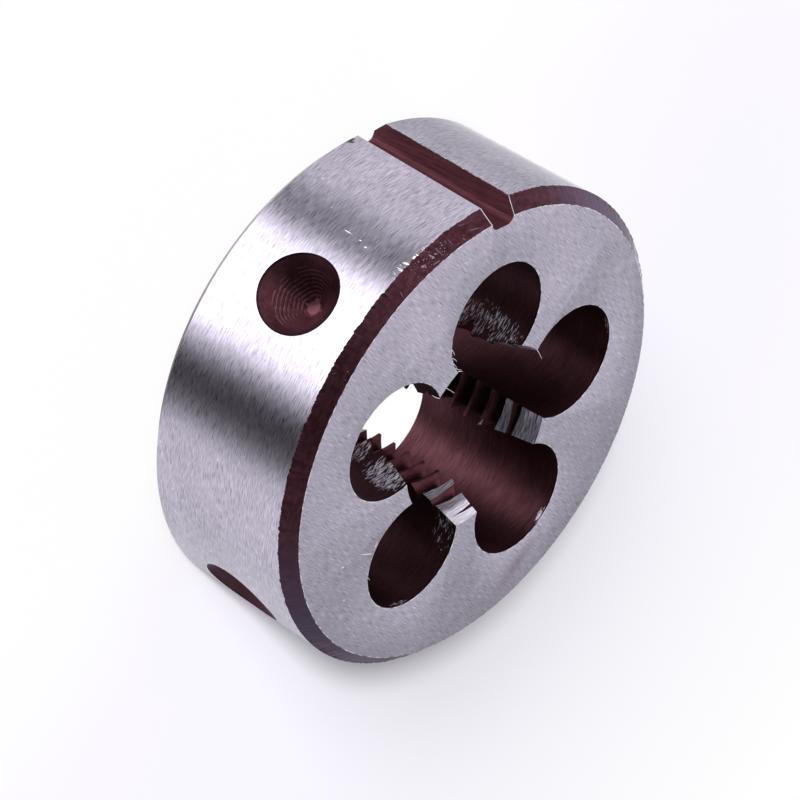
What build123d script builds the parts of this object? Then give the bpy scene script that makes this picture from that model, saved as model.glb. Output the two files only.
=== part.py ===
from build123d import *
import math
import os

# Round threading die for one size of metric thread, turned, drilled and ground from a single disc
# of tool steel. It lies on its back face, with the ground front face up. The origin is the centre
# of the back face, +Z is the axis of the bore, and the set-screw groove is on the +Y side.
# All lengths are in millimetres and all angles in degrees, counterclockwise from +X.

# The blank
blank_diameter = 38.0
blank_thickness = 14.0
front_rim_chamfer = 1.0
back_rim_chamfer = 0.8

# The thread that the die cuts
thread_diameter = 14.0
thread_pitch = 1.5

# The lead cones that let the workpiece in, one at each end of the bore, the back one smaller. On each
# land the cone is ground off centre, so that it falls away behind the cutting edge. A mouth's
# clearance is how far it lies outside the thread's nominal radius.
front_mouth_clearance = 0.36
back_mouth_clearance = -0.04
front_lead_half_angle = 18.5
back_lead_half_angle = 18.5
lead_relief_shift = 0.83
lead_cutter_arc = 60.0

# The clearance holes, which break into the bore and leave the cutting lands between them
clearance_hole_count = 5
clearance_hole_diameter = 9.05
clearance_hole_circle = 19.1
first_hole_angle = 90.0

# The groove across the rim for the middle set screw. Its angle is that of its front end, and it
# slants a little around the rim on its way to the back face.
groove_angle = 93.3
groove_slant = 2.4
groove_depth = 1.58
groove_floor_width = 1.83
groove_wall_angle = 17.5
groove_floor_fillet = 0.4

# The conical seats in the rim for the outer set screws, in one pair beside the groove and one
# pair away from it
dimple_mouth_diameter = 6.5
dimple_cone_angle = 90.0
dimple_floor_diameter = 1.4
near_dimple_spread = 42.5
near_dimple_height = 7.4
far_dimple_spread = 123.7
far_dimple_height = 6.7

# How far a cutting tool starts outside the rim
tool_overrun = 1.0

# An ISO thread's teeth stand 0.6134 of its pitch inside its nominal radius
tooth_height = 0.6134 * thread_pitch
blank_radius = blank_diameter / 2
crest_radius = thread_diameter / 2 - tooth_height
front_mouth_radius = thread_diameter / 2 + front_mouth_clearance
back_mouth_radius = thread_diameter / 2 + back_mouth_clearance
front_lead_slope = math.tan(math.radians(front_lead_half_angle))
back_lead_slope = math.tan(math.radians(back_lead_half_angle))
front_lead_tool_radius = front_mouth_radius + tool_overrun * front_lead_slope
back_lead_tool_radius = back_mouth_radius + tool_overrun * back_lead_slope
front_lead_tool_height = front_lead_tool_radius / front_lead_slope
back_lead_tool_height = back_lead_tool_radius / back_lead_slope
first_land_angle = first_hole_angle + 180 / clearance_hole_count

groove_floor_radius = blank_radius - groove_depth
groove_tool_height = groove_depth + tool_overrun
groove_tool_spread = groove_tool_height * math.tan(math.radians(groove_wall_angle))
groove_run = (blank_thickness + tool_overrun) / math.cos(math.radians(groove_slant))

dimple_slope = math.tan(math.radians(dimple_cone_angle / 2))
dimple_depth = (dimple_mouth_diameter - dimple_floor_diameter) / 2 / dimple_slope
dimple_tool_height = dimple_depth + tool_overrun
dimple_tool_radius = dimple_floor_diameter / 2 + dimple_tool_height * dimple_slope


def outward(angle):
    """The direction from the axis to the rim at an angle."""
    return Vector(1, 0, 0).rotate(Axis.Z, angle)


def dimple_floor_plane(angle, height):
    """The plane of a dimple's small flat floor, facing out of the rim."""
    floor_centre = outward(angle) * (blank_radius - dimple_depth) + Vector(0, 0, height)
    return Plane(origin=floor_centre, z_dir=outward(angle))


# The blank's half section stands in the groove's angle, so the seam of the rim is cut away with it
section_plane = Plane(origin=(0, 0, 0), x_dir=outward(groove_angle), z_dir=outward(groove_angle - 90))

# The groove's own section lies in the front face, its Y towards the rim, and is cut downwards
groove_plane = Plane(
    origin=(0, 0, blank_thickness), x_dir=outward(groove_angle - 90), z_dir=(0, 0, 1)
)
groove_drift = outward(groove_angle - 90) * math.tan(math.radians(groove_slant))
groove_direction = Vector(0, 0, -1) + groove_drift

dimple_floors = [
    dimple_floor_plane(groove_angle + side * spread, height)
    for spread, height in (
        (near_dimple_spread, near_dimple_height),
        (far_dimple_spread, far_dimple_height),
    )
    for side in (-1, 1)
]

# One land's two lead cones, for a land that lies along X. A right-hand thread cuts with the land's
# +Y edge at the front and with its -Y edge at the back, so the two cones shift opposite ways.
with BuildPart() as lead_cutter:
    with Locations((0, -lead_relief_shift, blank_thickness + tool_overrun - front_lead_tool_height)):
        Cone(
            bottom_radius=0,
            top_radius=front_lead_tool_radius,
            height=front_lead_tool_height,
            arc_size=lead_cutter_arc,
            rotation=(0, 0, -lead_cutter_arc / 2),
            align=None,
        )
    with Locations((0, lead_relief_shift, -tool_overrun)):
        Cone(
            bottom_radius=back_lead_tool_radius,
            top_radius=0,
            height=back_lead_tool_height,
            arc_size=lead_cutter_arc,
            rotation=(0, 0, -lead_cutter_arc / 2),
            align=None,
        )

with BuildPart() as threading_die:
    # The turned blank: both rim chamfers and the bore at the thread's crests
    with BuildSketch(section_plane) as half_section:
        with BuildLine():
            Polyline(
                (crest_radius, 0),
                (blank_radius - back_rim_chamfer, 0),
                (blank_radius, back_rim_chamfer),
                (blank_radius, blank_thickness - front_rim_chamfer),
                (blank_radius - front_rim_chamfer, blank_thickness),
                (crest_radius, blank_thickness),
                close=True,
            )
        make_face()
    revolve(axis=Axis.Z)

    # The clearance holes are drilled right through, beside the bore
    with PolarLocations(clearance_hole_circle / 2, clearance_hole_count, first_hole_angle):
        Hole(clearance_hole_diameter / 2)

    # The lands that the holes leave are relieved one by one, at both ends
    with PolarLocations(0, clearance_hole_count, first_land_angle):
        add(lead_cutter.part, mode=Mode.SUBTRACT)

    # The groove runs the whole thickness, with sloping walls, round corners and a flat floor
    with BuildSketch(groove_plane) as groove_section:
        with BuildLine():
            Polyline(
                (-groove_floor_width / 2, groove_floor_radius),
                (groove_floor_width / 2, groove_floor_radius),
                (groove_floor_width / 2 + groove_tool_spread, blank_radius + tool_overrun),
                (-groove_floor_width / 2 - groove_tool_spread, blank_radius + tool_overrun),
                close=True,
            )
        make_face()
        fillet(groove_section.vertices().group_by(Axis.Y)[0], groove_floor_fillet)
    extrude(amount=groove_run, dir=groove_direction, mode=Mode.SUBTRACT)

    # The dimples are drilled from the rim towards the axis
    with Locations(*dimple_floors):
        Cone(
            bottom_radius=dimple_floor_diameter / 2,
            top_radius=dimple_tool_radius,
            height=dimple_tool_height,
            align=(Align.CENTER, Align.CENTER, Align.MIN),
            mode=Mode.SUBTRACT,
        )

threading_die.part.label = "threading_die"

os.makedirs("parts", exist_ok=True)
export_step(threading_die.part, "parts/threading_die.step")
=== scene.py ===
import math
import bmesh
import bpy
from mathutils import Matrix, Vector, noise


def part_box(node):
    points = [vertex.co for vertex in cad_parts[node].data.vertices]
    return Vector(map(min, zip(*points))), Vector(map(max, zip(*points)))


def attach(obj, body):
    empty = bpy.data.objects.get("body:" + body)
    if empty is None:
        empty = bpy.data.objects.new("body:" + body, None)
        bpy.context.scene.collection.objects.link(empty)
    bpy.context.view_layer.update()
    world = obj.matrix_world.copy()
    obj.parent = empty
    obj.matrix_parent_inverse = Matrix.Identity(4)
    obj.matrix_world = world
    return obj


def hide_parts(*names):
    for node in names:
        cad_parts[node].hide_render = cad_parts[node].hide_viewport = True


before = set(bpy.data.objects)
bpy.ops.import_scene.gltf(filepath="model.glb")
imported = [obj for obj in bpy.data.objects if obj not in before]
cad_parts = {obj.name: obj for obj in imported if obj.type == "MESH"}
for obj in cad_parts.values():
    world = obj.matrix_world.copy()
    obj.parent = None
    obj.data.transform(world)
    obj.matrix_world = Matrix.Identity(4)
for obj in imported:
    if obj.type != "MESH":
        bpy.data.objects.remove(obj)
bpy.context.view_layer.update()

# The disc: one round blank of tool steel, turned with a chamfer round each rim edge and a lead cone at
# each end of the bore, hardened, and then ground bright on both faces and on the rim. The chamfers keep
# the dark oxide of the hardening, and the grinding left a ragged, chipped edge where it met them.
MM = 0.001
disc_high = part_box("threading_die")[1]
disc_radius = disc_high.x
disc_height = disc_high.z
front_chamfer = 1.0 * MM
back_chamfer = 0.8 * MM
crest_radius = 6.08 * MM
front_mouth = 7.32 * MM
back_mouth = 6.91 * MM
lead_angle = math.radians(18.5)
land_count = 5
first_land = math.radians(54)
land_reach = math.radians(14)
land_relief = 0.2 * MM
disc_steps = 1080
edge_band = 0.3 * MM
edge_break = 0.05 * MM
edge_waver = 0.07 * MM
edge_chips = 0.05 * MM
chipped_side = math.radians(193)
chipped_cosine = 0.97
lip_width = 0.06 * MM
lip_drop = 0.01 * MM
lip_waver = 0.03 * MM
noise_radius = 19
closeness = 0.01 * MM

up = Vector((0, 0, 1))
finishes = {}


def outward(angle):
    """The direction from the axis to the rim at an angle."""
    return Vector((math.cos(angle), math.sin(angle), 0))


def as_object(shape, name, finish_names):
    """A shape's mesh as a new object, with these finishes in its material slots."""
    bmesh.ops.recalc_face_normals(shape, faces=shape.faces)
    mesh = bpy.data.meshes.new(name)
    shape.to_mesh(mesh)
    shape.free()
    for finish_name in finish_names:
        mesh.materials.append(finishes[finish_name])
    made = bpy.data.objects.new(name, mesh)
    bpy.context.scene.collection.objects.link(made)
    return made


def turned(section, steps, ring=False):
    """A body turned about Z from (radius, height) corners: a solid from axis to axis, or a closed ring."""
    shape = bmesh.new()
    corners = [shape.verts.new((radius, 0, height)) for radius, height in section]
    first = 0 if ring else 1
    edges = [shape.edges.new((corners[k - 1], corners[k])) for k in range(first, len(corners))]
    bmesh.ops.spin(
        shape, geom=corners + edges, cent=(0, 0, 0), axis=up, angle=math.tau, steps=steps, use_merge=True
    )
    bmesh.ops.remove_doubles(shape, verts=shape.verts, dist=0.0001 * MM)
    bmesh.ops.recalc_face_normals(shape, faces=shape.faces)
    return shape


def fill(tree, target, inputs):
    """Gives a shader node's sockets their values or links."""
    for socket, value in inputs.items():
        if isinstance(value, bpy.types.NodeSocket):
            tree.links.new(value, target.inputs[socket])
        else:
            target.inputs[socket].default_value = value


def node(tree, kind, inputs=None, **settings):
    """A new shader node. Settings are its own properties, and inputs go to its sockets."""
    made = tree.nodes.new("ShaderNode" + kind)
    for name, value in settings.items():
        setattr(made, name, value)
    fill(tree, made, inputs or {})
    return made


def dress(tree, inputs):
    """Gives the sockets of a finish's own shader their values or links."""
    fill(tree, tree.nodes["Principled BSDF"], inputs)


def shown(red, green, blue):
    """A colour given as a screen shows it, from 0 to 255, as the linear values that a shader takes."""
    shares = [level / 255 for level in (red, green, blue)]
    return *[s / 12.92 if s <= 0.04045 else ((s + 0.055) / 1.055) ** 2.4 for s in shares], 1.0


def inside(finish_name):
    """A finish's tree, and the piece's own coordinates in it."""
    tree = finishes[finish_name].node_tree
    return tree, node(tree, "TexCoord").outputs["Object"]


def new_finish(name):
    """A new metal: its tree, and the piece's own coordinates in it."""
    finishes[name] = bpy.data.materials.new(name)
    finishes[name].use_nodes = True
    tree, place = inside(name)
    dress(tree, {"Metallic": 1.0})
    return tree, place


def grain(tree, place, size, turn=(0, 0, 0), detail=2.0, shift=(0, 0, 0)):
    """Noise whose grains have this length, width and depth in the turned directions."""
    laid = node(tree, "Mapping", {0: place, 1: shift, 2: turn, 3: size}, vector_type="TEXTURE")
    return node(tree, "TexNoise", {0: laid.outputs[0], "Scale": 1.0, "Detail": detail}).outputs[0]


def spread(tree, value, low, high, to_low, to_high, smooth=False):
    """A value taken from one range to another and held inside it."""
    kind = "SMOOTHSTEP" if smooth else "LINEAR"
    inputs = {0: value, 1: low, 2: high, 3: to_low, 4: to_high}
    return node(tree, "MapRange", inputs, interpolation_type=kind).outputs[0]


def blend(tree, share, first, second):
    """Two colours mixed by a share."""
    return node(tree, "Mix", {0: share, 6: first, 7: second}, data_type="RGBA").outputs[2]


def math_node(tree, operation, first, second=0.0):
    """One step of arithmetic."""
    return node(tree, "Math", {0: first, 1: second}, operation=operation).outputs[0]


def times(tree, first, second):
    """The product of two values."""
    return math_node(tree, "MULTIPLY", first, second)


def mingled(tree, fine, share, coarse):
    """Two noises added up, of which the fine one has this share."""
    return math_node(tree, "ADD", times(tree, fine, share), times(tree, coarse, 1 - share))


def along(tree, place, direction):
    """How far a place lies along a direction."""
    return node(tree, "VectorMath", {0: place, 1: direction}, operation="DOT_PRODUCT").outputs["Value"]


def patch(tree, place, centre, reach, turn=(0, 0, 0)):
    """A share that is 1 at a centre and falls to 0 at its reach."""
    laid = node(tree, "Mapping", {0: place, 1: centre, 2: turn, 3: reach}, vector_type="TEXTURE")
    return node(tree, "TexGradient", {0: laid.outputs[0]}, gradient_type="SPHERICAL").outputs[1]


def streak(tree, place, start, end, width):
    """A share that is 1 along a short line between two points, and 0 beside it."""
    line = end - start
    turn = line.to_track_quat("X", "Z").to_euler()
    return patch(tree, place, (start + end) / 2, (line.length / 2 + width, width, width), turn)


def most(tree, shares):
    """The largest of several shares."""
    largest = shares[0]
    for share in shares[1:]:
        largest = math_node(tree, "MAXIMUM", largest, share)
    return largest


def lay_over(finish_name, share, colour):
    """Lays one more colour over a finish, where its share is high."""
    tree = finishes[finish_name].node_tree
    below = tree.nodes["Principled BSDF"].inputs["Base Color"].links[0].from_socket
    dress(tree, {"Base Color": blend(tree, share, below, colour)})


def whiten_burrs_and_highlights(finish_name, share):
    """Pale steel where a share is high: torn burrs, which scatter light and look white, and a painted
    highlight.
    """
    lay_over(finish_name, share, steel_bright)
    tree = finishes[finish_name].node_tree
    dress(tree, {"Metallic": spread(tree, share, 0.0, 1.0, 1.0, 0.0)})


# The ground steel of the faces and the rim: silver with a cast of lilac, and covered in the wheel's fine
# short scratches. A smaller wheel left rings in the lead cones.
steel_light = shown(230, 223, 241)
steel_dark = shown(124, 118, 135)
steel_bare = shown(200, 194, 209)
steel_stain = shown(150, 132, 150)
steel_shadow = shown(70, 62, 70)
steel_bright = shown(240, 236, 246)
speck_spacing = 1.6 * MM


def ground_steel(name, size, turn, stretch_across, roughness, anisotropy, depth, reach=0.15):
    """Steel ground in one direction. The larger the reach, the more even its tone."""
    tree, place = new_finish(name)
    scratches = grain(tree, place, size, turn, detail=1.0)
    clouds = grain(tree, place, (4 * MM,) * 3)
    tone = mingled(tree, scratches, 0.85, clouds)
    colour = blend(tree, spread(tree, tone, 0.5 - reach, 0.5 + reach, 0.0, 1.0), steel_dark, steel_light)
    specks = node(tree, "Mapping", {0: place, 3: (speck_spacing,) * 3}, vector_type="TEXTURE")
    specks = node(tree, "TexVoronoi", {0: specks.outputs[0], "Scale": 1.0}).outputs["Distance"]
    bump = node(tree, "Bump", {"Strength": 1.0, "Distance": depth, "Height": scratches})
    dress(tree, {
        "Base Color": blend(tree, spread(tree, specks, 0.03, 0.06, 0.8, 0.0), colour, steel_bright),
        "Roughness": spread(tree, scratches, 0.5 - reach, 0.5 + reach, roughness - 0.05, roughness + 0.05),
        "Anisotropic": anisotropy,
        "Tangent": node(tree, "CombineXYZ", dict(enumerate(stretch_across))).outputs[0],
        "Normal": bump.outputs[0],
    })
    return tree, place


rim_scratch = (0.65 * MM, 0.65 * MM, 0.03 * MM)
ground_steel("ground_rim", rim_scratch, (0, 0, 0), up, 0.31, 0.8, 0.0035 * MM, reach=0.22)

face_lay = math.radians(-42)
across_face = outward(face_lay + math.pi / 2)
face_scratch = (1 * MM, 0.04 * MM, 0.04 * MM)
tree, place = ground_steel(
    "ground_face", face_scratch, (0, 0, face_lay), across_face, 0.4, 0.5, 0.003 * MM, reach=0.28
)
stain_low = outward(math.radians(-54)) * 15.2 * MM + up * disc_height
stain_high = outward(math.radians(-72)) * 16.6 * MM + up * disc_height
stain = streak(tree, place, stain_low, stain_high, 1.1 * MM)
lay_over("ground_face", times(tree, stain, 0.7), steel_stain)

cone_scratch = (0.9 * MM, 0.9 * MM, 0.07 * MM)
cone_shade_bottom = 12.4 * MM
cone_shade_top = 12.8 * MM
tree, place = ground_steel("lead_cone", cone_scratch, (0, 0, 0), up, 0.42, 0.7, 0.015 * MM)
# Painted shade: the lead cone is darker below its top edge.
shade = spread(tree, along(tree, place, up), cone_shade_bottom, cone_shade_top, 0.32, 0.0)
lay_over("lead_cone", shade, steel_shadow)
# Painted highlight: the lead facet of the land at 270 degrees is paler, less metallic steel.
land_painted_highlight = patch(tree, place, Vector((0, -6.8, 13.5)) * MM, (4 * MM, 2 * MM, 0.9 * MM))
whiten_burrs_and_highlights("lead_cone", spread(tree, land_painted_highlight, 0.0, 0.3, 0.0, 0.4))

tree, place = new_finish("worn_edge")
worn = spread(tree, grain(tree, place, (0.5 * MM,) * 3), 0.35, 0.65, 0.0, 1.0)
dress(tree, {"Base Color": blend(tree, worn, steel_dark, steel_bright), "Metallic": 0.55})

# The oxide: a thin skin, dark reddish brown, that shines like the metal under it. It is scuffed through
# to the steel in small specks and scratches.
# A dark oxide colour, laid both on torn marks and as painted shade.
oxide_dark_and_shade = shown(24, 14, 18)
oxide_painted_shade = shown(20, 15, 20)
oxide_metallic = 0.97


def oxide(name, size, dark, light, turn=(0, 0, 0), roughness=0.38, depth=0.02 * MM):
    """Steel under its oxide, with grains of this length, width and depth in the turned directions."""
    tree, place = new_finish(name)
    lines = grain(tree, place, size, turn, detail=3.0)
    clouds = grain(tree, place, (2.5 * MM,) * 3)
    tone = mingled(tree, lines, 0.6, clouds)
    bump = node(tree, "Bump", {"Strength": 1.0, "Distance": depth, "Height": lines})
    dress(tree, {
        "Base Color": blend(tree, spread(tree, tone, 0.35, 0.65, 0.0, 1.0), dark, light),
        "Metallic": oxide_metallic,
        "Specular Tint": (0.75, 0.72, 0.78, 1),
        "Roughness": roughness,
        "Normal": bump.outputs[0],
    })
    return tree, place


def scuff(finish_name, rubbed, grit):
    """Bares the steel in grit-sized specks, more of them the higher the rubbed share is."""
    tree, place = inside(finish_name)
    specks = grain(tree, place, grit, shift=(0.3, 0.1, 0.2))
    bare = spread(tree, math_node(tree, "ADD", rubbed, specks), 0.8, 0.85, 0.0, 1.0)
    lay_over(finish_name, bare, steel_bare)
    return bare


chamfer_grain = (0.6 * MM, 0.6 * MM, 0.25 * MM)
tree, place = oxide("chamfer_oxide", chamfer_grain, shown(56, 31, 38), shown(90, 53, 64), roughness=0.34)
# Painted sheen: the chamfer turns a paler, greyer lilac towards its low and right sides, as grazing light
# makes it look.
low_side_sheen = spread(tree, along(tree, place, (0, 1, 0)), 1 * MM, -10 * MM, 0.0, 0.85)
right_side_sheen = spread(tree, along(tree, place, (1, 0, 0)), 3 * MM, 10 * MM, 0.0, 0.85)
lay_over("chamfer_oxide", most(tree, [low_side_sheen, right_side_sheen]), shown(90, 77, 98))
rubbed = patch(tree, place, (-7.2 * MM, 17 * MM, 13.5 * MM), (5 * MM, 5 * MM, 3 * MM))
scuff("chamfer_oxide", times(tree, rubbed, 0.17), (0.1 * MM,) * 3)


def on_chamfer(angle, across):
    """The point of the front chamfer at an angle in degrees and a share of the way in from the rim."""
    inward = front_chamfer * across
    height = disc_height - front_chamfer + inward
    return outward(math.radians(angle)) * (disc_radius - inward) + up * height


def on_rim(angle, height):
    """The point of the rim at an angle in degrees and a height in millimetres."""
    return outward(math.radians(angle)) * disc_radius + up * height * MM


chamfer_scratches = [
    (on_chamfer(112.2, 0), on_chamfer(111.4, 1), 0.025 * MM),
    (on_chamfer(108.5, 0.2), on_chamfer(108, 0.9), 0.02 * MM),
    (on_chamfer(103.3, 0.6), on_chamfer(99.7, 0.8), 0.03 * MM),
    (on_chamfer(105, 0.1), on_chamfer(102, 0.3), 0.025 * MM),
    (on_chamfer(105.4, 0.7), on_chamfer(104.7, 0.95), 0.025 * MM),
    (on_chamfer(114.3, 0.2), on_chamfer(113.3, 0.7), 0.06 * MM),
    (on_chamfer(115.3, 0.8), on_chamfer(112.2, 0.9), 0.04 * MM),
    (on_chamfer(117.3, 0.5), on_chamfer(116, 0.6), 0.11 * MM),
    (on_chamfer(124, 0.5), on_chamfer(124.8, 0.95), 0.03 * MM),
    (on_chamfer(144.1, 0.75), on_chamfer(144.3, 0.75), 0.07 * MM),
    (on_chamfer(145.9, 0.85), on_chamfer(146.1, 0.85), 0.06 * MM),
    (on_chamfer(146.4, 0.05), on_chamfer(145.5, 0.35), 0.03 * MM),
]
rim_scratches = [
    (on_rim(119.2, 6.95), on_rim(119.2, 7.9), 0.04 * MM),
    (on_rim(119.5, 8.6), on_rim(119.5, 8.75), 0.07 * MM),
    (on_rim(120.3, 9.3), on_rim(120.2, 9.5), 0.08 * MM),
]
back_tears = [
    (on_rim(97.3, 0.95), on_rim(99.4, 0.95), 0.25 * MM),
    (on_rim(98.2, 1.3), on_rim(99.3, 1), 0.15 * MM),
]
face_marks = [
    (Vector((-14.2, 5.5, 14)) * MM, Vector((-14.1, 5.5, 14)) * MM, 0.1 * MM),
    (Vector((-13.1, -5.9, 14)) * MM, Vector((-13, -5.9, 14)) * MM, 0.12 * MM),
    (Vector((-12.5, -9, 14)) * MM, Vector((-12.4, -9, 14)) * MM, 0.1 * MM),
    (Vector((-11.5, -5.5, 14)) * MM, Vector((-9.8, -6.1, 14)) * MM, 0.07 * MM),
    (Vector((-10, -5.8, 14)) * MM, Vector((-9.6, -5, 14)) * MM, 0.06 * MM),
    (Vector((-9.7, -5.7, 14)) * MM, Vector((-9.3, -4.9, 14)) * MM, 0.06 * MM),
]


def broken_marks(finish_name, marks):
    """A share that is high along some streaks, except where noise breaks them."""
    tree, place = inside(finish_name)
    share = most(tree, [streak(tree, place, *mark) for mark in marks])
    breaks = grain(tree, place, (0.12 * MM,) * 3)
    return spread(tree, times(tree, share, breaks), 0.1, 0.3, 0.0, 0.9)


lay_over("chamfer_oxide", broken_marks("chamfer_oxide", chamfer_scratches), steel_stain)
lay_over("ground_rim", broken_marks("ground_rim", back_tears), oxide_dark_and_shade)
whiten_burrs_and_highlights("ground_face", broken_marks("ground_face", face_marks))

# Along the rim's front edge the wheel also left short bright hairs
tree, place = inside("ground_rim")
near_edge = most(tree, [
    patch(tree, place, on_rim(120.3, 12.9), (1 * MM, 1 * MM, 0.55 * MM)),
    patch(tree, place, on_rim(117, 13), (2.4 * MM, 2.4 * MM, 0.25 * MM)),
])
hairs = spread(tree, grain(tree, place, (0.09 * MM, 0.09 * MM, 0.9 * MM), detail=1.0), 0.54, 0.6, 0.0, 0.9)
hairs = times(tree, hairs, spread(tree, near_edge, 0.0, 0.4, 0.0, 1.0))
whiten_burrs_and_highlights("ground_rim", most(tree, [hairs, broken_marks("ground_rim", rim_scratches)]))

bore_grain = (0.8 * MM, 0.8 * MM, 0.15 * MM)
tree, place = oxide("thread_oxide", bore_grain, shown(58, 32, 37), shown(92, 52, 59))
# Painted shade: the thread teeth on the land at about -18 degrees are darkened.
land_painted_shade = patch(tree, place, Vector((6.2, -2, 8)) * MM, (4 * MM, 4 * MM, 9 * MM))
lay_over("thread_oxide", spread(tree, land_painted_shade, 0.05, 0.4, 0.0, 0.6), oxide_dark_and_shade)


def lead_shift(angle):
    """How far out the front lead cone lies at an angle: in at a land's cutting edge, out behind it."""
    sector = math.tau / land_count
    ahead = (angle - first_land + sector / 2) % sector - sector / 2
    return -land_relief * max(-1.0, min(1.0, ahead / land_reach))


lead_slope = math.tan(lead_angle)
front_edge = disc_height - front_chamfer
disc = turned(
    [
        (crest_radius, (back_mouth - crest_radius) / lead_slope),
        (back_mouth, 0),
        (disc_radius - back_chamfer, 0),
        (disc_radius, back_chamfer),
        (disc_radius, front_edge - edge_band),
        (disc_radius, front_edge),
        (disc_radius - edge_break, front_edge + edge_break),
        (disc_radius - edge_band, front_edge + edge_band),
        (disc_radius - front_chamfer, disc_height - lip_drop),
        (disc_radius - front_chamfer - lip_width, disc_height),
        (front_mouth, disc_height),
        (crest_radius, disc_height - (front_mouth - crest_radius) / lead_slope),
    ],
    disc_steps, ring=True,
)
disc_finishes = ["ground_face", "ground_rim", "chamfer_oxide", "lead_cone", "thread_oxide", "worn_edge"]
for face in disc.faces:
    centre = face.calc_center_median()
    is_level = abs(face.normal.z) > 0.95
    is_upright = abs(face.normal.z) < 0.05
    if disc_height - lip_drop < centre.z < disc_height - lip_drop / 4:
        finish_name = "worn_edge"
    elif is_level:
        finish_name = "ground_face"
    elif centre.xy.length < front_mouth:
        finish_name = "thread_oxide" if is_upright else "lead_cone"
    else:
        finish_name = "ground_rim" if is_upright else "chamfer_oxide"
    face.material_index = disc_finishes.index(finish_name)

# The back lead cones are relieved the other way, and both edges of the front chamfer waver
for corner in disc.verts:
    radius = corner.co.xy.length
    angle = math.atan2(corner.co.y, corner.co.x)
    side = outward(angle)
    spot = side * noise_radius
    if radius < crest_radius + closeness:
        corner.co.z -= lead_shift(angle) / lead_slope
    elif radius < front_mouth + closeness:
        at_front = corner.co.z > disc_height / 2
        corner.co += side * lead_shift(angle) * (1 if at_front else -1)
    elif abs(corner.co.z - front_edge - edge_break / 2) < edge_break:
        waver = sum(noise.noise(spot * scale) for scale in (1.1, 3.7, 8.3))
        chips = max(0.0, noise.noise(spot * 2.6 + up * 7) - 0.2) / 0.5
        nearness = max(0.0, side.dot(outward(chipped_side)) - chipped_cosine) / (1 - chipped_cosine)
        corner.co.z += edge_waver * waver - edge_chips * chips * (1 + 2 * nearness)
    elif corner.co.z > disc_height - lip_drop * 1.5:
        waver = sum(noise.noise(spot * scale) for scale in (1.7, 6.1))
        corner.co -= side * lip_waver * waver
die = as_object(disc, "threading_die_dressed", disc_finishes)
cutters = []

# The clearance holes: five holes drilled right through beside the bore. Their walls kept the brown
# oxide, except where a tool scraped them bare, and their mouths are worn bright.
hole_radius = 9.05 / 2 * MM
hole_circle = 19.1 / 2 * MM
first_hole = math.radians(90)
overrun = 1 * MM
hole_steps = 180
hole_grain = (1.2 * MM, 1.2 * MM, 0.1 * MM)
scrape_lines = (0.5 * MM, 0.5 * MM, 0.065 * MM)
scraped_patches = [
    ((-7.1, -1.1, 8.9), (1.6, 1.3, 1.6), 0.27),
    ((-7.3, -1.5, 12.3), (2.4, 1.5, 2.6), 0.31),
    ((3.3, 6.5, 10.6), (2, 2, 4.4), 0.25),
    ((-1.3, -7.7, 13.2), (1.2, 3, 2), 0.2),
    ((-6.3, -12.2, 13.9), (1.6, 0.8, 0.5), 0.3),
    ((9.1, -10.7, 13.9), (0.9, 1, 0.4), 0.45),
    ((13.2, 4.6, 13.9), (0.8, 1.6, 0.4), 0.3),
]
shaded_hole_walls = ((90, 0.9), (18, 0.5), (234, 0.95))
tree, place = oxide("hole_oxide", hole_grain, shown(64, 38, 43), shown(93, 57, 64), roughness=0.48)
height = along(tree, place, up)
rubbed = []
for centre, reach, strength in scraped_patches:
    share = patch(tree, place, Vector(centre) * MM, Vector(reach) * MM)
    rubbed.append(spread(tree, share, 0.0, 0.45, 0.0, strength))
below_mouth = spread(tree, height, 13.7 * MM, 13.9 * MM, 1.0, 0.75)
scraped = scuff("hole_oxide", times(tree, most(tree, rubbed), below_mouth), scrape_lines)
dress(tree, {"Metallic": spread(tree, scraped, 0.0, 1.0, oxide_metallic, 0.7)})
# Painted shade: a thin dark band at the top of each hole's wall, just below its mouth.
lay_over("hole_oxide", spread(tree, height, 13.84 * MM, 13.94 * MM, 0.0, 0.8), oxide_dark_and_shade)
# Painted shade: the walls of the holes at 90, 18 and 234 degrees are darkened where they face away from the
# light.
for angle, strength in shaded_hole_walls:
    hole_axis = outward(math.radians(angle)) * hole_circle
    painted_shade_side = patch(tree, place, hole_axis + up * 9 * MM, (6 * MM, 6 * MM, 12 * MM))
    lay_over("hole_oxide", spread(tree, painted_shade_side, 0.05, 0.4, 0.0, strength), oxide_painted_shade)

lip_top = disc_height - lip_drop + overrun * lip_drop / lip_width
hole_section = [
    (0, -overrun),
    (hole_radius + edge_break + overrun, -overrun),
    (hole_radius, edge_break),
    (hole_radius, disc_height - edge_break),
    (hole_radius + edge_break, disc_height - lip_drop),
    (hole_radius + edge_break + overrun, lip_top),
    (0, lip_top),
]
for index in range(land_count):
    shape = turned(hole_section, hole_steps)
    for face in shape.faces:
        face.material_index = 1 if abs(face.normal.z) > 0.9 else 0
    spot = outward(first_hole + index * math.tau / land_count) * hole_circle
    bmesh.ops.translate(shape, vec=spot, verts=shape.verts)
    cutters.append(as_object(shape, f"hole_cutter_{index}", ["hole_oxide", "worn_edge"]))

# The groove for the middle set screw, milled across the rim. The cutter left lines along it, and
# chipped its right edge.
groove_angle = math.radians(93.3)
groove_slant = math.tan(math.radians(2.4))
groove_floor = disc_radius - 1.58 * MM
groove_half_floor = 1.83 / 2 * MM
groove_wall = math.tan(math.radians(17.5))
groove_corner = 0.4 * MM
groove_chips = 0.08 * MM
groove_top = disc_radius + overrun
groove_half_top = groove_half_floor + (groove_top - groove_floor) * groove_wall
groove_run = disc_height + 2 * overrun
groove_steps = 120
upright_turn = groove_angle - math.pi / 2
oxide(
    "groove_oxide", (0.08 * MM, 0.3 * MM, 14 * MM), shown(76, 42, 49), shown(106, 61, 70),
    turn=(0, 0, upright_turn), roughness=0.62,
)
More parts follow.
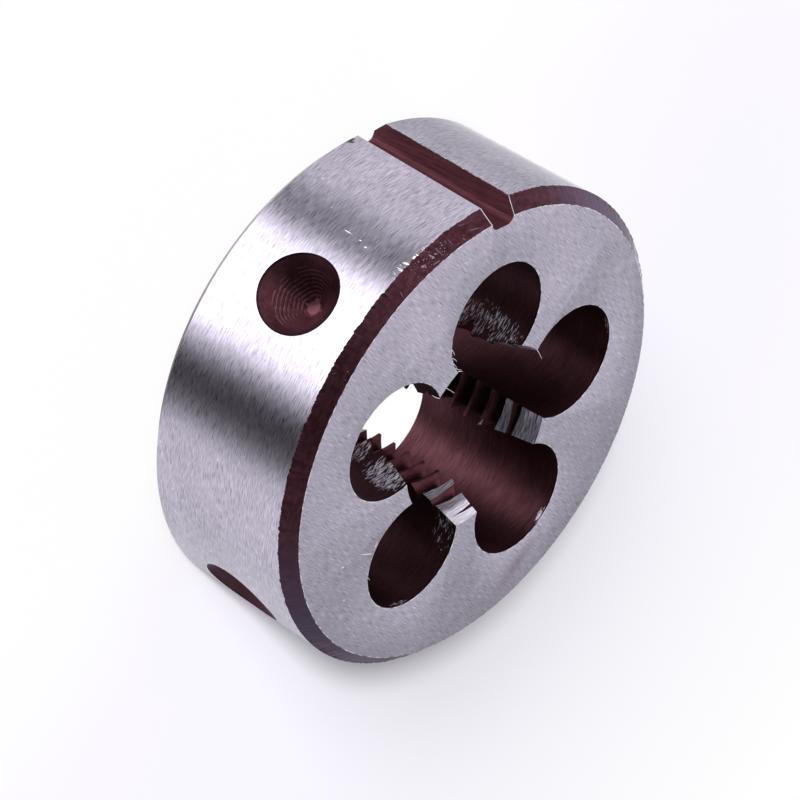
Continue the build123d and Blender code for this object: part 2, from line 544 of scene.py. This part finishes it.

# Its edges are worn to a thin bright line at the chamfer and torn along the rim, and its left wall is
# darkened with painted shade
for finish_name in ("chamfer_oxide", "ground_rim", "groove_oxide"):
    tree, place = inside(finish_name)
    aside = along(tree, place, outward(upright_turn) + up * groove_slant)
    aside = math_node(tree, "SUBTRACT", aside, disc_height * groove_slant)
    half = along(tree, place, outward(groove_angle) * groove_wall)
    half = math_node(tree, "ADD", half, groove_half_floor - groove_floor * groove_wall)
    beside = math_node(tree, "SUBTRACT", math_node(tree, "ABSOLUTE", aside), half)
    if finish_name == "chamfer_oxide":
        lay_over(finish_name, spread(tree, beside, 0.03 * MM, 0.08 * MM, 0.85, 0.0), steel_bright)
    elif finish_name == "groove_oxide":
        # Painted shade: the left wall and the left edge of the floor are darker.
        left = spread(tree, aside, -groove_half_floor, -0.8 * groove_half_floor, 0.4, 0.0)
        lay_over(finish_name, left, oxide_dark_and_shade)
    else:
        torn = grain(tree, place, (0.2 * MM, 0.2 * MM, 0.35 * MM))
        right = spread(tree, aside, 0.0, 0.1 * MM, 0.0, 1.0)
        line = times(tree, spread(tree, beside, 0.04 * MM, 0.12 * MM, 1.0, 0.0), right)
        dark = times(tree, line, spread(tree, torn, 0.42, 0.5, 0.0, 1.0))
        lay_over(finish_name, dark, oxide_dark_and_shade)
        bright = times(tree, line, spread(tree, torn, 0.36, 0.3, 0.0, 1.0))
        lay_over(finish_name, bright, steel_bright)

# It is shaped in line with the Y axis, and then turned to its place
outline = [
    (-groove_half_floor, groove_floor), (groove_half_floor, groove_floor),
    (groove_half_top, groove_top), (-groove_half_top, groove_top),
]
lid_height = disc_height + overrun
lid_shift = overrun * groove_slant
shape = bmesh.new()
lid = shape.faces.new([shape.verts.new((across - lid_shift, out, lid_height)) for across, out in outline])
grown = bmesh.ops.extrude_face_region(shape, geom=[lid])
lower = [item for item in grown["geom"] if isinstance(item, bmesh.types.BMVert)]
bmesh.ops.translate(shape, vec=(groove_run * groove_slant, 0, -groove_run), verts=lower)


def long_edges(shape):
    """The edges that run the whole length of the groove."""
    return [edge for edge in shape.edges if abs(edge.verts[0].co.z - edge.verts[1].co.z) > disc_height]


floor_edges = [edge for edge in long_edges(shape) if edge.verts[0].co.y < disc_radius]
bmesh.ops.bevel(
    shape, geom=floor_edges, offset=groove_corner, segments=6, profile=0.5, affect="EDGES", material=-1
)
bmesh.ops.subdivide_edges(shape, edges=long_edges(shape), cuts=groove_steps, use_grid_fill=True)
for corner in shape.verts:
    if corner.co.y > groove_top - closeness and corner.co.x > 0:
        spot = up * corner.co.z / MM
        corner.co.x += groove_chips * (noise.noise(spot * 2.3) + 0.5 * noise.noise(spot * 6.1))
to_place = Matrix.Rotation(upright_turn, 3, "Z")
bmesh.ops.rotate(shape, cent=(0, 0, 0), matrix=to_place, verts=shape.verts)
cutters.append(as_object(shape, "groove_cutter", ["groove_oxide"]))

# The seats for the outer set screws: four conical dimples drilled into the rim. The drill left rings on
# the cone, and a broken ring round the small blunt floor.
seat_mouth = 6.5 / 2 * MM
seat_floor = 1.4 / 2 * MM
seat_depth = seat_mouth - seat_floor
seat_steps = 120
ring_pitch = 0.21 * MM
ring_count = 8
ring_depth = 0.012 * MM
ring_wander = 0.6
points_per_ring = 4
floor_ring_width = 0.2 * MM
floor_ring_depth = 0.06 * MM
seats = ((-42.5, 7.4), (42.5, 7.4), (-123.7, 6.7), (123.7, 6.7))
tree, place = oxide(
    "seat_oxide", (0.4 * MM,) * 3, shown(70, 39, 45), shown(92, 56, 63), roughness=0.42, depth=0.01 * MM
)
from_axis = node(tree, "VectorMath", {0: place, 1: (1, 1, 0)}, operation="MULTIPLY").outputs[0]
from_axis = node(tree, "VectorMath", {0: from_axis}, operation="LENGTH").outputs["Value"]
# Painted shade: a thin dark line round the mouth of each dimple.
mouth_painted_shade = spread(tree, from_axis, disc_radius - 0.16 * MM, disc_radius - 0.05 * MM, 0.0, 0.8)
lay_over("seat_oxide", mouth_painted_shade, oxide_dark_and_shade)
ring_grain = (0.3 * MM,) * 3
# The drill rings are real ripples of the cone, and their light and shade are painted on as a pale and a
# dark copy of the oxide, laid on alternate bands and on the floor.
oxide("seat_ring_painted_light", ring_grain, shown(110, 70, 79), shown(142, 96, 106), roughness=0.5)
oxide("seat_ring_painted_shade", ring_grain, shown(56, 32, 37), shown(84, 51, 58), roughness=0.5)
seat_finishes = ["seat_oxide", "seat_ring_painted_light", "seat_ring_painted_shade"]
# Painted light and shade in two dimples: a dark and a pale patch on either side of the one at about 136
# degrees, and a greyer lilac painted sheen over the one at about 217 degrees.
seat_light_and_shade_patches = [
    ((-11.7, 13.5, 6.2), 2.4, 0.6, oxide_dark_and_shade),
    ((-13.3, 10.9, 8.4), 2.2, 0.5, shown(170, 110, 120)),
    ((-15.2, -11.4, 6.7), 5, 0.6, shown(84, 60, 74)),
]
for finish_name in seat_finishes:
    tree, place = inside(finish_name)
    for centre, reach, strength, colour in seat_light_and_shade_patches:
        share = patch(tree, place, Vector(centre) * MM, (reach * MM,) * 3)
        lay_over(finish_name, spread(tree, share, 0.0, 0.6, 0.0, strength), colour)

seat_section = [
    (0, 0),
    (seat_floor - floor_ring_width, 0),
    (seat_floor - floor_ring_width / 2, -floor_ring_depth),
]
for step in range(ring_count * points_per_ring + 1):
    turns = step / points_per_ring
    ripple = ring_depth * (1 - 0.8 * turns / ring_count) * math.sin(math.tau * turns)
    seat_section.append((seat_floor + turns * ring_pitch, turns * ring_pitch + ripple))
seat_section += [(seat_mouth + overrun, seat_depth + overrun), (0, seat_depth + overrun)]
for turn, height in seats:
    shape = turned(seat_section, seat_steps)
    for face in shape.faces:
        centre = face.calc_center_median()
        angle = math.atan2(centre.y, centre.x)
        uneven = noise.noise(outward(angle) * 1.5 + up * height)
        turns = (centre.xy.length - seat_floor) / ring_pitch + ring_wander * uneven
        if centre.z > seat_depth:
            finish_name = "seat_oxide"
        elif turns < 0:
            finish_name = "seat_ring_painted_shade" if turns < -1 or uneven > -0.15 else "seat_ring_painted_light"
        elif turns < ring_count and turns % 1 > 0.5 + 0.2 * uneven + 0.04 * turns:
            finish_name = "seat_ring_painted_light"
        elif turns < ring_count - 2 and turns % 1 < 0.25:
            finish_name = "seat_ring_painted_shade"
        else:
            finish_name = "seat_oxide"
        face.material_index = seat_finishes.index(finish_name)
    round_rim = Matrix.Rotation(groove_angle + math.radians(turn), 4, "Z")
    into_rim = Matrix.Translation((disc_radius - seat_depth, 0, height * MM))
    lying = Matrix.Rotation(math.pi / 2, 4, "Y")
    bmesh.ops.transform(shape, matrix=round_rim @ (into_rim @ lying), verts=shape.verts)
    cutters.append(as_object(shape, f"seat_cutter_{turn}", seat_finishes))

# The thread: a right-hand V thread with a pitch of 1.5 mm, tapped through the lands between the holes
# before the disc was hardened, so its teeth carry the same brown oxide as the holes.
pitch = 1.5 * MM
thread_start = 1.655 * MM - 2 * pitch
thread_root = 7.16 * MM
thread_inside = 5.9 * MM
thread_half_angle = math.radians(30)
steps_per_turn = 90
thread_turns = 12
half_width = (thread_root - thread_inside) * math.tan(thread_half_angle)
section = [(thread_inside, -half_width), (thread_root, 0), (thread_inside, half_width)]
shape = bmesh.new()
corners = [shape.verts.new((radius, 0, height + thread_start)) for radius, height in section]
edges = [shape.edges.new((corners[k - 1], corners[k])) for k in range(3)]
bmesh.ops.spin(
    shape, geom=corners + edges, cent=(0, 0, 0), axis=up, dvec=(0, 0, pitch / steps_per_turn),
    angle=math.tau * thread_turns, steps=steps_per_turn * thread_turns, use_merge=False,
)
bmesh.ops.holes_fill(shape, edges=[edge for edge in shape.edges if edge.is_boundary], sides=3)
cutters.append(as_object(shape, "thread_cutter", ["thread_oxide"]))


# The finished die: one solid piece of tool steel. Each cutter is taken out of the disc, as the drill,
# the mill and the tap did, and leaves its own finish on what it cut.
def made_mesh(made):
    """An object's mesh as its modifier or its bevel leaves it."""
    evaluated = made.evaluated_get(bpy.context.evaluated_depsgraph_get())
    return bpy.data.meshes.new_from_object(evaluated)


for cutter in cutters:
    cut = die.modifiers.new("cut", "BOOLEAN")
    cut.operation = "DIFFERENCE"
    cut.solver = "MANIFOLD"
    cut.material_mode = "TRANSFER"
    cut.object = cutter
    whole = made_mesh(die)
    die.modifiers.clear()
    die.data = whole
    bpy.data.objects.remove(cutter)
die.data.shade_smooth()
die.data.set_sharp_from_angle(angle=math.radians(20))
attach(die, "root")
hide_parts("threading_die")

# The hair burrs: fine curls of torn steel that still hang on the edges of the holes. The drill and the
# grinding wheel tore them up, and each one starts on its edge and gets thinner towards its end.
hair_height = 13.95 * MM
hair_radius = 0.028 * MM
hair_thinning = (1.0, 0.8, 0.4)
burrs = [
    ((-4.11, 7.57), (-3.85, 7.25), (-3.62, 7.05)),
    ((-3.75, 7.02), (-3.50, 6.80), (-3.10, 6.65)),
    ((-3.47, 6.64), (-3.15, 6.60), (-2.92, 6.45)),
    ((-4.25, 8.00), (-3.95, 7.85), (-3.75, 7.55)),
    ((-4.46, 8.76), (-4.20, 8.50), (-4.10, 8.20)),
    ((5.18, 5.33), (5.61, 4.84), (5.88, 4.36)),
    ((-4.60, 5.75), (-4.10, 5.40), (-3.50, 4.90)),
    ((-5.06, 5.03), (-5.50, 5.25), (-5.90, 5.60)),
    ((-10.32, -7.76), (-10.17, -8.08), (-9.86, -8.39)),
]
tree, place = new_finish("burr_steel")
dress(tree, {"Base Color": steel_bright, "Metallic": 0.4, "Roughness": 0.4})
curls = bpy.data.curves.new("hair_burrs", "CURVE")
curls.dimensions = "3D"
curls.bevel_depth = hair_radius
curls.bevel_resolution = 1
curls.use_fill_caps = True
for burr in burrs:
    spline = curls.splines.new("NURBS")
    spline.points.add(len(burr) - 1)
    spline.use_endpoint_u = True
    spline.order_u = 3
    for point, (x, y), thickness in zip(spline.points, burr, hair_thinning):
        point.co = (x * MM, y * MM, hair_height, 1)
        point.radius = thickness
curved = bpy.data.objects.new("hair_curves", curls)
bpy.context.scene.collection.objects.link(curved)
whole = made_mesh(curved)
bpy.data.objects.remove(curved)
whole.materials.clear()
whole.materials.append(finishes["burr_steel"])
hair = bpy.data.objects.new("hair_burrs", whole)
bpy.context.scene.collection.objects.link(hair)
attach(hair, "root")

# The camera: it looks down at the die from the groove's side through a long lens, at the photograph's
# angle, and is rolled as far as the disc is tipped there.
view_aim = Vector((-0.475, -0.591, 6.659)) * MM
view_azimuth = math.radians(141.204)
view_elevation = math.radians(32.827)
view_distance = 217.44 * MM
view_roll = math.radians(121.369)
view_back = outward(view_azimuth) * math.cos(view_elevation) + up * math.sin(view_elevation)
camera_data = bpy.data.cameras.new("camera")
camera_data.lens = 134.689
camera_data.sensor_width = 36
camera_data.clip_start = 10 * MM
camera_data.clip_end = 10
camera = bpy.data.objects.new("camera", camera_data)
bpy.context.scene.collection.objects.link(camera)
camera.location = view_aim + view_back * view_distance
level_turn = (-view_back).to_track_quat("-Z", "Y").to_matrix()
camera.rotation_euler = (level_turn @ Matrix.Rotation(view_roll, 3, "Z")).to_euler()
bpy.context.scene.camera = camera

# The studio: a white floor and a pale soft tent. Its bright panels and dark flags put the bands into the
# ground rim low down, and light the chamfer and the face from high up. Each has its azimuth, half its
# width and the softness of its edges, in degrees, and then its strength.
low_level = 0.93
low_panels = [(62, 14, 24, 0.1), (218, 16, 20, 0.2), (-34, 11, 14, 1.6), (133.5, 29.5, 8, 2.0)]
low_flags = [(187.5, 14.5, 10, 1.0), (97, 9, 14, 0.8), (16, 12, 24, 0.3), (310, 6, 12, 0.6)]
high_level = 0.36
high_panels = [(65, 35, 60, 0.85), (250, 40, 30, 0.18), (0, 14, 16, 1.1)]
high_flags = [(187.5, 14.5, 10, 0.6)]
ambient = 0.28
world = bpy.data.worlds.new("studio")
world.use_nodes = True
bpy.context.scene.world = world
tree = world.node_tree
direction = node(tree, "TexCoord").outputs["Generated"]
level = node(tree, "VectorMath", {0: direction, 1: (1, 1, 0)}, operation="MULTIPLY").outputs[0]
level = node(tree, "VectorMath", {0: level}, operation="NORMALIZE").outputs[0]


def strip(azimuth, half_width, soft):
    """1 in a standing strip of the tent round an azimuth, and 0 outside it, in degrees."""
    facing = along(tree, level, outward(math.radians(azimuth)))
    outer = math.cos(math.radians(half_width + soft / 2))
    inner = math.cos(math.radians(half_width - soft / 2))
    return spread(tree, facing, outer, inner, 0.0, 1.0, smooth=True)


def tent(light, panels, flags):
    """The tent's even light, with what its panels add and without the shares that its flags take away."""
    for *place, strength in panels:
        light = math_node(tree, "ADD", light, times(tree, strip(*place), strength))
    for *place, strength in flags:
        left = math_node(tree, "SUBTRACT", 1.0, times(tree, strip(*place), strength))
        light = times(tree, light, left)
    return light


def mixed(share, first, second):
    """Two lights mixed by a share."""
    return node(tree, "Mix", {0: share, 2: first, 3: second}, data_type="FLOAT").outputs[0]


low_tent = tent(low_level, low_panels, low_flags)
high_tent = tent(high_level, high_panels, high_flags)
raised = spread(tree, along(tree, direction, up), -0.3, 0.15, 0.0, 1.0, smooth=True)
ray = node(tree, "LightPath").outputs
seen = mixed(ray["Is Glossy Ray"], ambient, mixed(raised, low_tent, high_tent))
seen = mixed(ray["Is Camera Ray"], seen, 1.0)
fill(tree, tree.nodes["Background"], {"Color": (1, 1, 1, 1), "Strength": seen})


def soft_lamp(name, azimuth, elevation, distance, size, energy):
    """A round soft lamp that faces the die."""
    lamp_data = bpy.data.lights.new(name, "AREA")
    lamp_data.shape = "DISK"
    lamp_data.size = size
    lamp_data.energy = energy
    lamp = bpy.data.objects.new(name, lamp_data)
    bpy.context.scene.collection.objects.link(lamp)
    azimuth = math.radians(azimuth)
    elevation = math.radians(elevation)
    lamp.location = (outward(azimuth) * math.cos(elevation) + up * math.sin(elevation)) * distance
    lamp.rotation_euler = (-lamp.location).to_track_quat("-Z", "Y").to_euler()
    return lamp


soft_lamp("key_lamp", 134, 30, 1.5, 0.18, 24).visible_glossy = False
soft_lamp("low_lamp", 130, 18, 1.5, 0.5, 14).visible_glossy = False
soft_lamp("face_lamp", 327, 45, 0.23, 0.14, 0.0305)

# The floor glows white to the camera far out, under the die and on its lit side, and keeps the die's
# shadow in between
shadow_end = 45 * MM
white_start = 110 * MM
lit_side = outward(math.radians(130))
floor_radius = 2.0
tree, place = new_finish("floor_white")
dress(tree, {
    "Base Color": (0.94, 0.92, 0.99, 1),
    "Metallic": 0.0,
    "Roughness": 0.9,
    "Specular IOR Level": 0.0,
})
ray = node(tree, "LightPath").outputs
shine = node(tree, "Emission", {"Color": (1, 1, 1, 1), "Strength": 1.0})
from_axis = node(tree, "VectorMath", {0: place}, operation="LENGTH").outputs["Value"]
share = most(tree, [
    spread(tree, from_axis, disc_radius - 1 * MM, disc_radius, 1.0, 0.0),
    spread(tree, from_axis, shadow_end, white_start, 0.0, 1.0),
    spread(tree, along(tree, place, lit_side), -6 * MM, 10 * MM, 0.0, 0.9),
])
share = times(tree, ray["Is Camera Ray"], share)
own_shader = tree.nodes["Principled BSDF"].outputs[0]
glowing = node(tree, "MixShader", {0: share, 1: own_shader, 2: shine.outputs[0]})
fill(tree, tree.nodes["Material Output"], {"Surface": glowing.outputs[0]})
shape = bmesh.new()
bmesh.ops.create_circle(shape, cap_ends=True, segments=96, radius=floor_radius)
floor = as_object(shape, "floor", ["floor_white"])
floor.visible_glossy = False

bpy.context.scene.view_settings.view_transform = "Standard"
